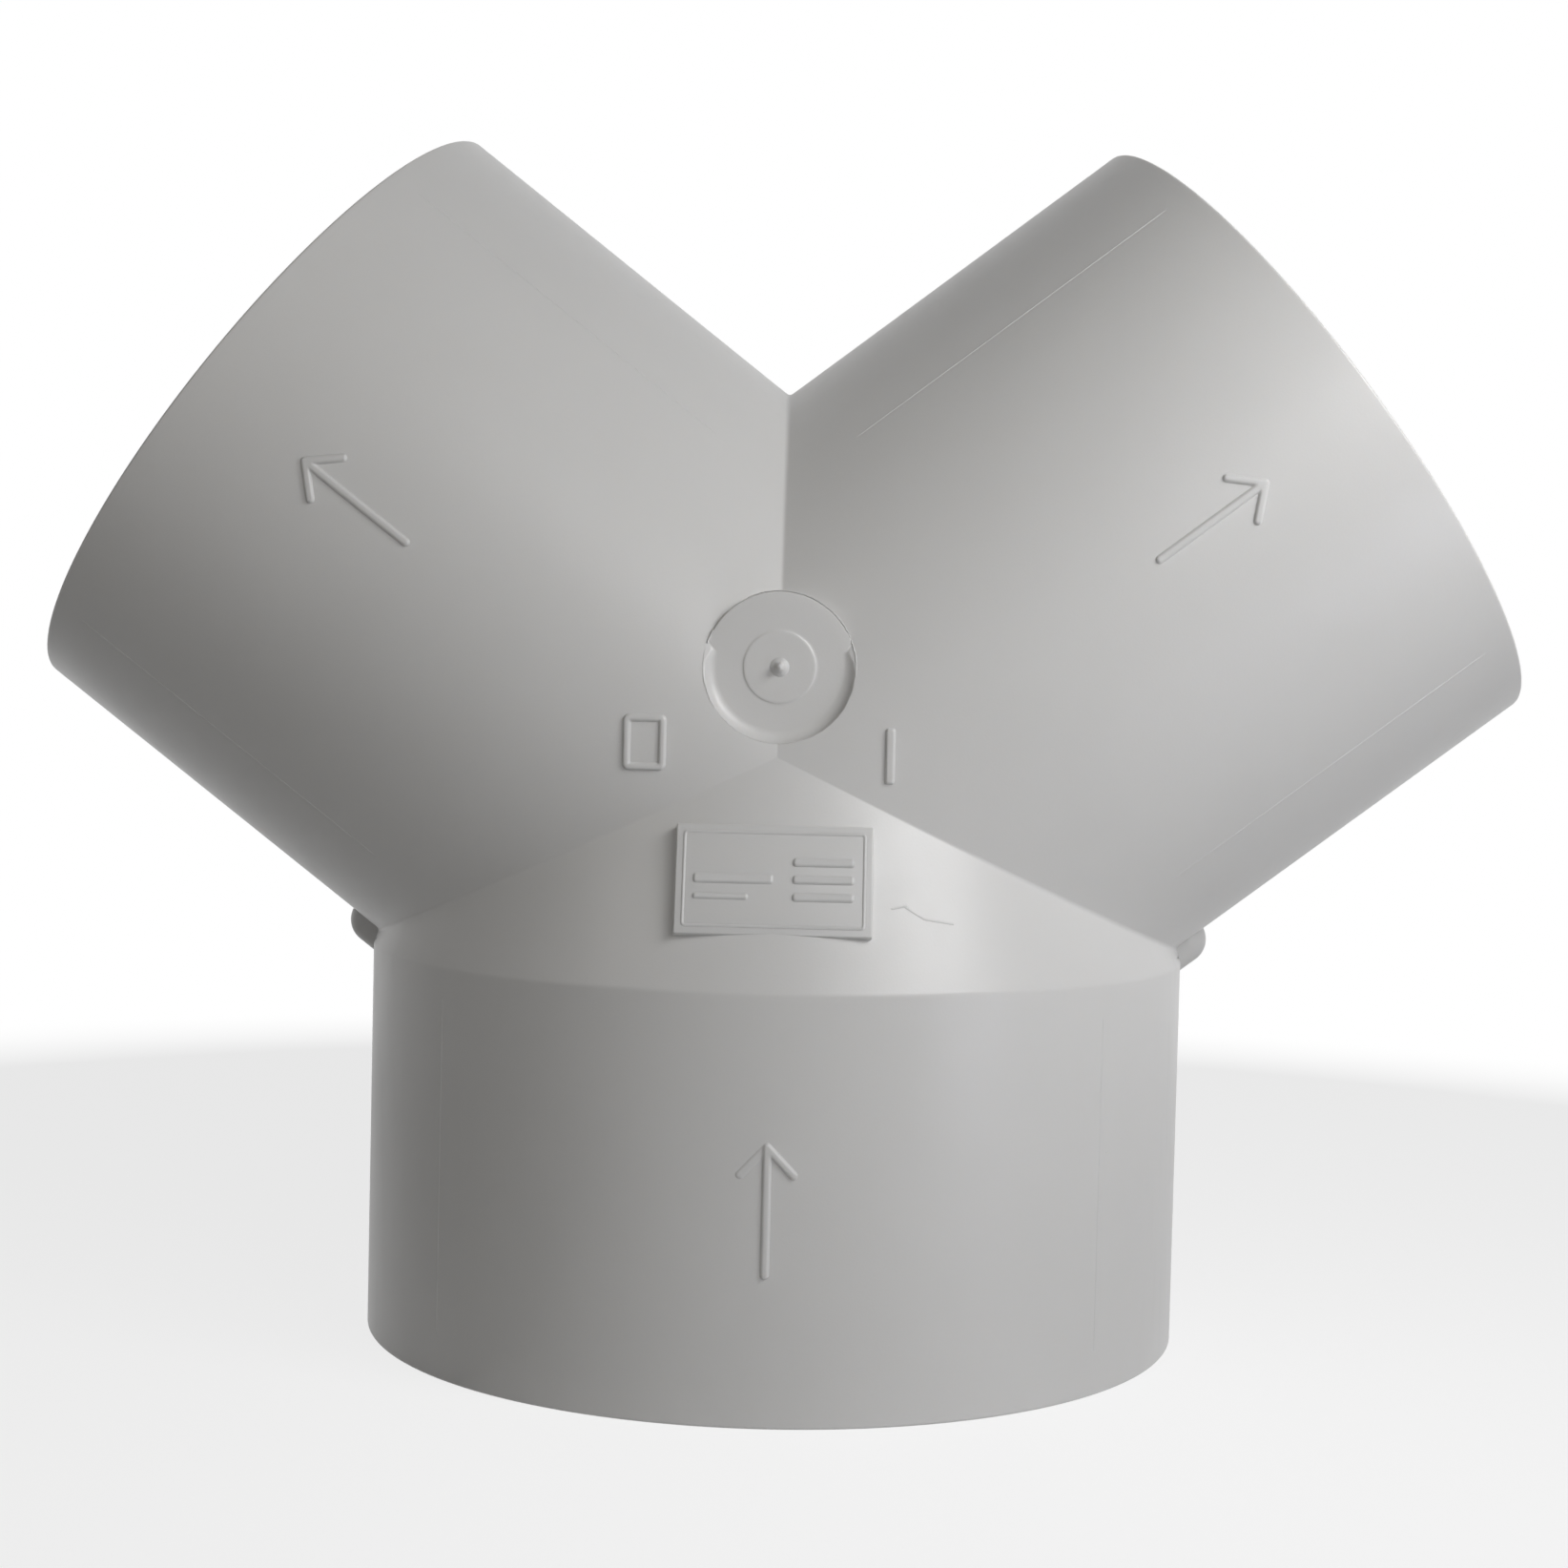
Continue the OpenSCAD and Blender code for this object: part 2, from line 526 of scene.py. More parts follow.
@dataclass
class GatePad:
    """Round pad through which the plastic was injected, part sunk and part proud."""

    radius: float = 12.5
    rise: float = 28.25
    face: float = 59.8
    fillet: float = 2.0
    lip: float = 0.3
    edge: float = 0.28
    step_r: float = 6.0
    step_h: float = 0.15

    @property
    def hole_r(self) -> float:
        """Radius of the hole in the outer skin that the pad's grid fills."""
        return self.radius + self.lip

    def outside(self, place: Sequence[float]) -> float:
        """How far a point of the front lies outside the hole, seen from the front."""
        return math.hypot(place[0], place[2] - self.rise) - self.hole_r

    def depth(self, skin: Skin, radius: Array, turn: Array) -> Array:
        """How far the outer skin stands proud of the pad's face, by radius and direction."""
        return -self.face - skin.front_y(radius * np.cos(turn), self.rise + radius * np.sin(turn))

    def pocket_r(self, height: Array) -> Array:
        """Radius of the pocket at a height over the pad's face."""
        sunk = self.fillet - np.clip(height, 0.0, self.fillet)
        return self.radius - self.fillet + np.sqrt(self.fillet**2 - sunk**2)

    def rows(self, skin: Skin, turn: Array, rim_depth: Array) -> Array:
        """Works out the pad's surface from its rim to its middle.

        Args:
            skin: The outer skin round the pad.
            turn: Direction of each column, in radians up from +X.
            rim_depth: Height over the pad's face of each column's point on the hole's rim.

        Returns:
            Pairs of radius and height, by row and column. The first row is inside the rim.
        """
        flat = np.full_like(turn, self.radius)
        deep = self.depth(skin, flat, turn)
        corner = flat.copy()
        for _ in range(25):
            corner = np.where(deep > 0, self.pocket_r(self.depth(skin, corner, turn)), self.radius)
        corner_h = self.depth(skin, corner, turn)
        soft = np.minimum(self.lip * 0.8, np.abs(corner_h) * 0.45 + 0.01)
        sunk = deep > 0
        rows = [np.stack([np.full_like(turn, self.hole_r), rim_depth], -1)]
        for share in (0.35, 0.7, 1.0):
            radius = self.hole_r + (corner + soft - self.hole_r) * share
            rows.append(np.stack([radius, self.depth(skin, radius, turn)], -1))
        wall_h = corner_h - np.where(sunk, soft, -soft)
        wall_r = np.where(sunk, self.pocket_r(wall_h), self.radius)
        pair = [np.stack([corner, corner_h], -1), np.stack([wall_r, wall_h], -1)]
        rows.extend(bend(rows[-1], pair[0], pair[1], 5)[1:])
        edge = np.minimum(self.edge, np.abs(wall_h) * 0.9)
        floor_r = self.radius - self.fillet
        angle = np.arccos(1.0 - np.clip(wall_h, 0.0, self.fillet) / self.fillet)
        straight = np.maximum(wall_h - self.fillet, 0.0)
        length = straight + self.fillet * angle
        proud_edge = bend(
            np.stack([flat, -edge], -1), np.stack([flat, 0 * flat], -1),
            np.stack([flat - edge, 0 * flat], -1), 6,
        )
        for i, share in enumerate(np.linspace(0.0, 1.0, 9)[1:]):
            left = length * (1.0 - share)
            turn_angle = np.minimum(left / self.fillet, angle)
            height = self.fillet * (1 - np.cos(turn_angle)) + np.maximum(left - self.fillet * angle, 0)
            reach = floor_r + self.fillet * np.sin(turn_angle)
            down = np.stack([reach, height], -1)
            if i < 2:
                up_h = wall_h + (-edge - wall_h) * (i + 1) / 3
                up = np.stack([flat, up_h], -1)
            else:
                up = proud_edge[i - 2]
            rows.append(np.where(sunk[:, None], down, up))
        for radius, height in (
            (10.4, 0.0), (8.5, 0.0), (6.5, 0.0), (self.step_r + 0.12, 0.0),
            (self.step_r + 0.04, self.step_h * 0.3), (self.step_r - 0.04, self.step_h * 0.75),
            (self.step_r - 0.12, self.step_h), (5.5, self.step_h), (3.5, self.step_h),
            (1.6, self.step_h),
        ):
            rows.append(np.stack([flat * 0 + radius, flat * 0 + height], -1))
        return np.array(rows)

    def place(self, pairs: Array, turn: Array) -> Array:
        """Points of the moulding for pairs of radius and height over the pad's face."""
        radius, height = pairs[..., 0], pairs[..., 1]
        return np.stack(
            [radius * np.cos(turn), -self.face - height, self.rise + radius * np.sin(turn)], -1
        )


@dataclass
class BranchShell:
    """The moulded shell: three tubes, their mitred junction, both skins, the rims and the pad."""

    sizes: Moulding = field(default_factory=Moulding)
    pad: GatePad = field(default_factory=GatePad)
    column_deg: float = 1.5
    crease_rows: tuple[float, ...] = (0.0, 0.08, 0.18, 0.3, 0.45, 0.65, 0.9, 1.3, 2.0)
    root_rows: int = 22
    cone_rows: int = 9

    def __post_init__(self) -> None:
        """Works out both skins."""
        self.outer = self.sizes.outer()
        self.inner = self.sizes.inner()

    def columns(self, skin: Skin) -> tuple[Array, Array]:
        """Angles of an outlet's columns on its cone side and on its valley side."""
        apex = skin.apex_angle()
        mean = self.outer.apex_angle()
        low = round((180 + 2 * math.degrees(mean)) / self.column_deg)
        high = round((180 - 2 * math.degrees(mean)) / self.column_deg)
        lower = np.linspace(-math.pi - apex, apex, low + 1)
        upper = np.linspace(apex, math.pi - apex, high + 1)
        return lower, upper

    def outlet_rows(self, skin: Skin, side: Side) -> Array:
        """Rows of one skin of an outlet, from its crease to its rim's bevel."""
        lower, upper = self.columns(skin)
        angle = np.concatenate([lower[:-1], upper[:-1]])
        start = np.concatenate([skin.shoulder(lower[:-1]), skin.valley(upper[:-1])])
        end = self.sizes.reach - self.sizes.bevel
        distances = [start + d for d in self.crease_rows]
        first = distances[-1]
        last = self.sizes.root_l
        for share in np.linspace(0.0, 1.0, self.root_rows + 1)[1:]:
            distances.append(first + (last - first) * share)
        for share in (0.25, 0.5, 0.75, 1.0):
            distances.append(np.full_like(start, last + (end - last) * share))
        rows = np.array([skin.on_outlet(side, angle, s) for s in distances])
        near = len(self.crease_rows)
        rows[:near] = skin.settle(rows[:near])
        return rows

    def outlet_rim(self, side: Side) -> Array:
        """Rows round an outlet's rim, from the outer bevel to the inner one."""
        lower, upper = self.columns(self.outer)
        angle = np.concatenate([lower[:-1], upper[:-1]])
        bevel, reach = self.sizes.bevel, self.sizes.reach
        outer_r, inner_r = self.sizes.outlet_r, self.sizes.outlet_r - self.sizes.rim_wall
        pairs = arc((outer_r - bevel, reach - bevel), bevel, 0, 90, 5)[1:]
        pairs += arc((inner_r + bevel, reach - bevel), bevel, 90, 180, 5)[:-1]
        spoke = self.outer.spoke(side, angle)
        axis = self.outer.axis(side)
        return np.array([s * axis + r * spoke for r, s in pairs])

    def inlet_rows(self, skin: Skin) -> Array:
        """Rows of one skin of the cone and inlet, from the crease to the rim's bevel."""
        lower, _ = self.columns(skin)
        right = skin.on_outlet(Side.RIGHT, lower, skin.shoulder(lower))
        left = right[::-1][1:-1] * np.array([-1.0, 1.0, 1.0])
        crease = np.concatenate([right, left])
        turn = np.arctan2(crease[:, 1], crease[:, 0])
        spoke = np.stack([np.cos(turn), np.sin(turn), 0 * turn], -1)
        base = skin.base_z()
        along = math.cos(skin.slope)
        heights = [crease[:, 2] - d * along for d in self.crease_rows]
        first, last = heights[-1], base + 1.2
        for share in np.linspace(0.0, 1.0, self.cone_rows + 1)[1:]:
            heights.append(first + (last - first) * share)
        for drop in (0.9, 0.65, 0.45, 0.28, 0.12, 0.0, -0.12, -0.28, -0.45, -0.65, -0.9, -1.2):
            heights.append(np.full_like(turn, base + drop))
        bottom = self.sizes.bevel - CROSSING_Z
        for share in (0.1, 0.4, 0.7, 1.0):
            heights.append(np.full_like(turn, base - 1.2 + (bottom - base + 1.2) * share))
        rows = []
        for z in heights:
            radius = np.where(z > base, skin.cone_r(z), skin.inlet_r(z))
            rows.append(radius[:, None] * spoke + z[:, None] * np.array([0.0, 0.0, 1.0]))
        rows = np.array(rows)
        rows[:-4] = skin.settle(rows[:-4])
        return rows

    def inlet_rim(self) -> Array:
        """Rows round the inlet's rim, from the outer bevel to the inner one."""
        lower, _ = self.columns(self.outer)
        right = self.outer.on_outlet(Side.RIGHT, lower, self.outer.shoulder(lower))
        crease = np.concatenate([right, right[::-1][1:-1] * np.array([-1.0, 1.0, 1.0])])
        turn = np.arctan2(crease[:, 1], crease[:, 0])
        bevel = self.sizes.bevel
        outer_r, inner_r = self.sizes.inlet_r, self.sizes.inlet_r - self.sizes.rim_wall
        middle = bevel - CROSSING_Z
        pairs = arc((outer_r - bevel, middle), bevel, 0, -90, 5)[1:]
        pairs += arc((inner_r + bevel, middle), bevel, -90, -180, 5)[:-1]
        spoke = np.stack([np.cos(turn), np.sin(turn), 0 * turn], -1)
        return np.array([r * spoke + np.array([0.0, 0.0, z]) for r, z in pairs])

    def cut_hole(self, maker: MeshMaker) -> list[bmesh.types.BMVert]:
        """Cuts the pad's hole in the front of the outer skin.

        Args:
            maker: Holds the shell's mesh.

        Returns:
            The hole's rim, in order round the pad.
        """
        bm, pad = maker.bm, self.pad
        gap = 0.18
        value: dict[bmesh.types.BMVert, float] = {}
        for vert in bm.verts:
            outside = pad.outside(vert.co)
            shallow = vert.co.y > -self.pad.face + 8.5
            value[vert] = 9.0 if shallow or outside > 9.0 else outside
        inner = {v for v in bm.verts if value[v] < 9.0 and self.outer.measure(
            np.array([v.co]))[0][0] < -0.5}
        for vert in inner:
            value[vert] = 9.0
        for edge in [e for e in bm.edges if value[e.verts[0]] * value[e.verts[1]] < 0]:
            a, b = edge.verts
            low, high = 0.0, 1.0
            for _ in range(40):
                t = 0.5 * (low + high)
                if pad.outside(a.co.lerp(b.co, t)) * value[a] > 0:
                    low = t
                else:
                    high = t
            place, length = a.co.lerp(b.co, t), (a.co - b.co).length
            close = a if t * length < gap else b if (1 - t) * length < gap else None
            if close is not None:
                close.co = place
                value[close] = 0.0
            elif value[a] != 0.0 and value[b] != 0.0:
                _, new = bmesh.utils.edge_split(edge, a, t)
                value[new] = 0.0
        for face in list({f for v in bm.verts if value.get(v, 9.0) == 0.0 for f in v.link_faces}):
            on_rim = [v for v in face.verts if value[v] == 0.0]
            if len(on_rim) == 2 and not any(e.other_vert(on_rim[0]) is on_rim[1] for e in face.edges
                                            if on_rim[0] in e.verts):
                bmesh.utils.face_split(face, on_rim[0], on_rim[1])
        doomed = [f for f in bm.faces if all(value[v] <= 0.0 for v in f.verts)]
        bmesh.ops.delete(bm, geom=doomed, context="FACES")
        rim = [v for v in bm.verts if value.get(v, 9.0) == 0.0 and v.is_boundary]
        rim.sort(key=lambda v: math.atan2(v.co.z - pad.rise, v.co.x))
        places = np.array([v.co for v in rim])
        depth = self.outer.front_y(places[:, 0], places[:, 2])
        for vert, y in zip(rim, depth):
            vert.co.y = y
        return rim

    def fill_pad(self, maker: MeshMaker, rim: list[bmesh.types.BMVert]) -> None:
        """Builds the pad inside the hole's rim."""
        places = np.array([v.co for v in rim])
        turn = np.arctan2(places[:, 2] - self.pad.rise, places[:, 0])
        pairs = self.pad.rows(self.outer, turn, -self.pad.face - places[:, 1])[1:]
        table = maker.grid(self.pad.place(pairs, turn), True)
        count = len(rim)
        for c in range(count):
            d = (c + 1) % count
            maker.bm.faces.new((rim[c], rim[d], table[0][d], table[0][c]))
        middle = maker.points(np.array([0.0, -self.pad.face - self.pad.step_h, self.pad.rise]))[0]
        for c in range(count):
            maker.bm.faces.new((table[-1][c], table[-1][(c + 1) % count], middle))

    def normals(self, places: Array, own: Array) -> Array:
        """Puts the skins' exact normals in place of the mesh's, away from rims and pad."""
        better = own.copy()
        pad_zone = (np.hypot(places[:, 0], places[:, 2] - self.pad.rise) < self.pad.hole_r - 0.01) & (
            places[:, 1] < -self.pad.face + 9.0)
        for skin, sign in ((self.outer, 1.0), (self.inner, -1.0)):
            value, grad = skin.measure(places)
            close = (np.abs(value) < 0.02) & ~pad_zone
            grad /= np.linalg.norm(grad, axis=1)[:, None]
            agrees = np.einsum("ij,ij->i", grad * sign, own) > 0.97
            better[close & agrees] = (grad * sign)[close & agrees]
        return better

    def build(self, material: bpy.types.Material) -> bpy.types.Object:
        """Builds the shell, which stands for the frame's node.

        Args:
            material: The shell's finish.

        Returns:
            The shell's object.
        """
        maker = MeshMaker()
        for side in Side:
            outer = self.outlet_rows(self.outer, side)
            inner = self.outlet_rows(self.inner, side)[::-1]
            maker.grid(np.concatenate([outer, self.outlet_rim(side), inner]), True)
        outer, inner = self.inlet_rows(self.outer), self.inlet_rows(self.inner)[::-1]
        maker.grid(np.concatenate([outer, self.inlet_rim(), inner]), True)
        maker.weld()
        rim = self.cut_hole(maker)
        self.fill_pad(maker, rim)
        maker.weld(0.001)
        loose = sum(1 for e in maker.bm.edges if not e.is_manifold)
        log.info("open or doubled edges in the shell: %d", loose)
        shell = maker.finish("branch_shell", material, self.normals)
        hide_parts(NODE)
        return shell


# Raised marks and small forms

Spot = Callable[[Array, Array], tuple[Array, Array]]
Outline = Callable[[Array, Array], Array]


@dataclass(frozen=True)
class Raised:
    """A raised shape: its outline, as a distance that is negative inside, and its height."""

    outline: Outline
    height: float


def stroke(start: tuple[float, float], end: tuple[float, float], width: float) -> Outline:
    """A straight line with round ends, as an outline."""

    def distance(u: Array, v: Array) -> Array:
        """Distance out from the line's edge."""
        du, dv = end[0] - start[0], end[1] - start[1]
        t = np.clip(((u - start[0]) * du + (v - start[1]) * dv) / (du * du + dv * dv), 0.0, 1.0)
        return np.hypot(u - start[0] - t * du, v - start[1] - t * dv) - width / 2

    return distance


def block(centre: tuple[float, float], size: tuple[float, float], corner: float) -> Outline:
    """A rectangle with round corners, as an outline."""

    def distance(u: Array, v: Array) -> Array:
        """Distance out from the rectangle's edge."""
        a = np.abs(u - centre[0]) - size[0] / 2 + corner
        b = np.abs(v - centre[1]) - size[1] / 2 + corner
        outside = np.hypot(np.maximum(a, 0.0), np.maximum(b, 0.0))
        return outside + np.minimum(np.maximum(a, b), 0.0) - corner

    return distance


def loop(around: Outline, width: float) -> Outline:
    """A line of the given width that runs inside an outline, as an outline."""

    def distance(u: Array, v: Array) -> Array:
        """Distance out from the line's edge."""
        return np.abs(around(u, v) + width / 2) - width / 2

    return distance


@dataclass(frozen=True)
class Relief:
    """Makes raised shapes as closed solids that are rooted under the surface they stand on."""

    flank: float = 0.32
    skirt: float = 0.3
    sink: float = 0.35
    root: float = 1.0

    def heights(self, shapes: Sequence[Raised], u: Array, v: Array) -> tuple[Array, Array]:
        """Height over the surface and distance out from the nearest shape, at each place."""
        top = np.full(u.shape, -self.sink)
        near = np.full(u.shape, 1e3)
        for shape in shapes:
            edge = shape.outline(u, v)
            rise = np.clip(-edge / self.flank, 0.0, 1.0)
            fall = np.clip(edge / self.skirt, 0.0, 1.0)
            height = shape.height * rise * rise * (3 - 2 * rise) - self.sink * fall
            top = np.maximum(top, height)
            near = np.minimum(near, edge)
        return top, near

    def add(
        self,
        maker: MeshMaker,
        spot: Spot,
        shapes: Sequence[Raised],
        box: tuple[float, float, float, float],
        step: tuple[float, float] = (0.22, 0.22),
    ) -> None:
        """Adds raised shapes to a mesh.

        Args:
            maker: Takes the new faces.
            spot: Gives the surface's points and normals at places on it.
            shapes: What is raised.
            box: Lowest and highest place: two numbers along the first axis, two along the second.
            step: Spacing of the points along each axis.
        """
        first = np.linspace(box[0], box[1], max(2, round((box[1] - box[0]) / step[0]) + 1))
        second = np.linspace(box[2], box[3], max(2, round((box[3] - box[2]) / step[1]) + 1))
        u, v = np.meshgrid(first, second, indexing="ij")
        height, near = self.heights(shapes, u, v)
        kept = near < self.skirt * 1.05
        cells = kept[:-1, :-1] | kept[1:, :-1] | kept[:-1, 1:] | kept[1:, 1:]
        where, facing = spot(u.ravel(), v.ravel())
        upper = where + facing * height.reshape(-1, 1)
        lower = where - facing * self.root
        used: dict[int, tuple[bmesh.types.BMVert, bmesh.types.BMVert]] = {}
        across = len(second)
        sides: dict[tuple[int, int], int] = {}
        for i, j in np.argwhere(cells):
            ring = [i * across + j, (i + 1) * across + j, (i + 1) * across + j + 1, i * across + j + 1]
            for k in ring:
                if k not in used:
                    used[k] = (maker.bm.verts.new(upper[k]), maker.bm.verts.new(lower[k]))
            maker.bm.faces.new([used[k][0] for k in ring])
            maker.bm.faces.new([used[k][1] for k in reversed(ring)])
            for a, b in zip(ring, ring[1:] + ring[:1]):
                if (b, a) in sides:
                    del sides[(b, a)]
                else:
                    sides[(a, b)] = 1
        for a, b in sides:
            maker.bm.faces.new((used[a][0], used[a][1], used[b][1], used[b][0]))


@dataclass(frozen=True)
class Spots:
    """Places on the fitting's surfaces, as millimetres along and across each one."""

    skin: Skin
    inlet_r: float

    def inlet(self, u: Array, v: Array) -> tuple[Array, Array]:
        """On the inlet: round from the front towards +X, and height."""
        turn = u / self.inlet_r
        facing = np.stack([np.sin(turn), -np.cos(turn), 0 * turn], -1)
        return facing * self.inlet_r + np.stack([0 * v, 0 * v, v], -1), facing

    def outlet(self, side: Side) -> Spot:
        """On an outlet: round from the front upwards, and distance along its line."""

        def spot(u: Array, v: Array) -> tuple[Array, Array]:
            """Points and normals of the outlet's wall."""
            turn = u / self.skin.outlet_r(np.array([self.skin.root_l]))[0]
            return self.skin.on_outlet(side, turn, v), self.skin.spoke(side, turn)

        return spot

    def front(self, u: Array, v: Array) -> tuple[Array, Array]:
        """On the front, whichever tube is there: X and height."""
        points = np.stack([u, self.skin.front_y(u, v), v], -1)
        grad = self.skin.measure(points)[1]
        return points, grad / np.linalg.norm(grad, axis=1)[:, None]


@dataclass
class FlowArrows:
    """The raised arrows that show which way the air goes."""

    width: float = 1.5
    height: float = 0.5
    barb_back: float = 4.5
    barb_side: float = 4.3
    outlet_tail: float = 77.5
    outlet_tip: float = 98.5
    inlet_tail: float = -69.0
    inlet_tip: float = -48.4
    worn_height: float = 0.16

    def arrow(self, tail: float, tip: float, worn: bool) -> list[Raised]:
        """One arrow along the second axis, whose left barb may be worn."""
        back = tip - self.barb_back
        left = self.worn_height if worn else self.height
        return [
            Raised(stroke((0.0, tail), (0.0, tip), self.width), self.height),
            Raised(stroke((self.barb_side, back), (0.0, tip), self.width), self.height),
            Raised(stroke((-self.barb_side, back), (0.0, tip), self.width), left),
        ]

    def build(self, spots: Spots, material: bpy.types.Material) -> None:
        """Builds the three arrows."""
        maker, relief = MeshMaker(), Relief()
        half = self.barb_side + 2.0
        box = (-half, half, self.outlet_tail - 1.5, self.outlet_tip + 1.5)
        for side in Side:
            relief.add(maker, spots.outlet(side), self.arrow(self.outlet_tail, self.outlet_tip, False), box)
        box = (-half, half, self.inlet_tail - 1.5, self.inlet_tip + 1.5)
        relief.add(maker, spots.inlet, self.arrow(self.inlet_tail, self.inlet_tip, True), box)
        maker.finish("flow_arrows", material)


@dataclass
class RaisedMarks:
    """Two small plain marks under the pad: an upright frame and an upright bar."""

    height: float = 0.55
    ring_centre: tuple[float, float] = (-21.8, 15.5)
    ring_size: tuple[float, float] = (7.2, 9.3)
    ring_line: float = 1.35
    bar_centre: tuple[float, float] = (18.4, 14.1)
    bar_size: tuple[float, float] = (1.7, 9.3)

    def build(self, spots: Spots, material: bpy.types.Material) -> None:
        """Builds both marks."""
        maker, relief = MeshMaker(), Relief()
        ring = loop(block(self.ring_centre, self.ring_size, 1.1), self.ring_line)
        bar = block(self.bar_centre, self.bar_size, 0.5)
        for outline, centre, size in (
            (ring, self.ring_centre, self.ring_size), (bar, self.bar_centre, self.bar_size),
        ):
            half_u, half_v = size[0] / 2 + 0.6, size[1] / 2 + 0.6
            box = (centre[0] - half_u, centre[0] + half_u, centre[1] - half_v, centre[1] + half_v)
            relief.add(maker, spots.front, [Raised(outline, self.height)], box)
        maker.finish("raised_marks", material)


@dataclass
class BarePlate:
    """The flat plate that lies against the cone, with a plain frame and plain bars."""

    width: float = 32.0
    length: float = 18.4
    depth: float = 3.0
    drop: float = 14.8
    lift: float = math.radians(1.0)
    edge: float = 0.3
    frame_inset: float = 1.1
    frame_line: float = 0.6
    line_height: float = 0.22
    bar_height: float = 0.4

    def spot(self, skin: Skin) -> Spot:
        """Places on the plate's face: across it, and up from its lower edge."""
        tilt = math.pi / 2 - skin.slope + self.lift
        up = np.array([0.0, math.cos(tilt), math.sin(tilt)])
        out = np.array([0.0, -math.sin(tilt), math.cos(tilt)])
        foot = np.array([0.0, -float(skin.cone_r(-self.drop)), -self.drop])

        def place(u: Array, v: Array) -> tuple[Array, Array]:
            """Points and normals of the plate's face."""
            points = foot + u[:, None] * np.array([1.0, 0.0, 0.0]) + v[:, None] * up
            return points, np.broadcast_to(out, points.shape)

        return place

    def build(self, skin: Skin, material: bpy.types.Material) -> None:
        """Builds the plate and its plain relief."""
        maker, spot = MeshMaker(), self.spot(skin)
        half = self.width / 2
        u = np.array([-half, half, half, -half])
        v = np.array([0.0, 0.0, self.length, self.length])
        face, out = spot(u, v)
        front, back = maker.points(face), maker.points(face - out * self.depth)
        maker.bm.faces.new(front)
        maker.bm.faces.new(back[::-1])
        for i in range(4):
            j = (i + 1) % 4
            maker.bm.faces.new((front[i], back[i], back[j], front[j]))
        bmesh.ops.bevel(
            maker.bm, geom=maker.bm.edges[:], offset=self.edge, segments=4, profile=0.5,
            affect="EDGES",
        )
        for face in maker.bm.faces:
            face.smooth = True
        edging = block((0.0, self.length / 2), (self.width - 2 * self.frame_inset,
                                                self.length - 2 * self.frame_inset), 0.8)
        shapes = [
            Raised(loop(edging, self.frame_line), self.line_height),
            Raised(block((-6.6, 9.3), (13.0, 1.7), 0.5), self.bar_height),
            Raised(block((-8.6, 6.3), (9.0, 1.1), 0.4), self.bar_height),
            Raised(block((8.0, 12.2), (10.0, 1.5), 0.5), self.bar_height),
            Raised(block((8.0, 9.3), (10.0, 1.5), 0.5), self.bar_height),
            Raised(block((8.0, 6.4), (10.0, 1.5), 0.5), self.bar_height),
        ]
        relief = Relief(flank=0.25, root=0.8)
        margin = self.frame_inset - 0.5
        box = (-half + margin, half - margin, margin, self.length - margin)
        relief.add(maker, spot, shapes, box, (0.2, 0.2))
        maker.finish("bare_plate", material)


def turned(profile: Sequence[tuple[float, float]], count: int) -> Array:
    """Turns a profile of radius and height round the Z axis, as rows and columns of points."""
    angle = np.linspace(0.0, 2 * math.pi, count, endpoint=False)
    spoke = np.stack([np.cos(angle), np.sin(angle), 0 * angle], -1)
    return np.array([r * spoke + np.array([0.0, 0.0, z]) for r, z in profile])


def close_ends(maker: MeshMaker, table: list[list[bmesh.types.BMVert]]) -> None:
    """Closes the first and the last row of a turned grid."""
    maker.bm.faces.new(table[0])
    maker.bm.faces.new(table[-1])


@dataclass
class DuctStops:
    """The round-ended stops in the corners under the outlets, which a duct comes up against."""

    radius: float = 4.7
    reach: float = 52.2
    root: float = 20.0

    def build(self, skin: Skin, tube_r: float, material: bpy.types.Material) -> None:
        """Builds both stops."""
        maker = MeshMaker()
        centre = self.reach - self.radius
        profile = [(self.radius, -self.root), (self.radius, -self.root / 2)]
        profile += arc((0.0, 0.0), self.radius, 0, 88, 16)
        shape = turned(profile, 48)
        for side in Side:
            axis, under = skin.axis(side), -skin.upward(side)
            across = np.cross(axis, under)
            spun = shape[..., 0:1] * under + shape[..., 1:2] * across + shape[..., 2:3] * axis
            close_ends(maker, maker.grid(spun + under * tube_r + axis * centre, True))
        maker.finish("duct_stops", material)


@dataclass
class SprueNib:
    """What is left of the sprue in the middle of the pad, broken off unevenly."""

    profile: tuple[tuple[float, float], ...] = (
        (1.75, -0.4), (1.6, 0.0), (1.3, 0.2), (1.0, 0.38), (0.82, 0.7),
        (0.7, 1.1), (0.6, 1.45), (0.48, 1.7), (0.3, 1.86), (0.12, 1.92),
    )
    roughness: float = 0.09
    seed: int = 11

    def build(self, pad: GatePad, material: bpy.types.Material) -> None:
        """Builds the nib."""
        maker = MeshMaker()
        shape = turned(self.profile, 28)
        random = np.random.default_rng(self.seed)
        bumps = random.normal(0.0, self.roughness, shape.shape[:2])
        bumps = (bumps + np.roll(bumps, 1, 1) + np.roll(bumps, -1, 1)) / 3
        bumps *= np.linspace(0.0, 1.0, len(self.profile))[:, None]
        shape[..., 0] *= 1 + bumps
        shape[..., 1] *= 1 + bumps
        shape[..., 2] += bumps * 0.9
        out = np.stack([shape[..., 0], -shape[..., 2] - pad.face - pad.step_h,
                        shape[..., 1] + pad.rise], -1)
        close_ends(maker, maker.grid(out, True))
        maker.finish("sprue_nib", material)


